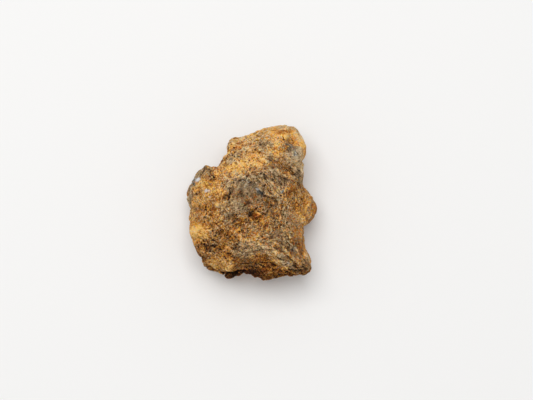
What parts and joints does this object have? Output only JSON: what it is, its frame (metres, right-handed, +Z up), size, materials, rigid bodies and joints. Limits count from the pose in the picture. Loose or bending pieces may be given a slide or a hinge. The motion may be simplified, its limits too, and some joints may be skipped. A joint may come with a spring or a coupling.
{
  "type": "pallasite meteorite",
  "caption": "Small rugged lump of weathered stony-iron meteorite with a stepped head, a side knob, a near horn and a pitted ochre crust, lying on a small flat break.",
  "frame": {"origin": "middle of the stone's bounding box, at the level of the flat break it lies on", "axes": "+Z up out of the flat break, +Y from the horned near end to the stepped head, which is the stone's length, +X towards the side knob"},
  "size_m": [0.017, 0.02, 0.0112],
  "materials": {
    "crust": "rough ochre and brown rust crust over nickel-iron and olivine, with grey metal showing in places"
  },
  "bodies": {
    "root": {"meteorite": "crust"}
  },
  "joints": []
}
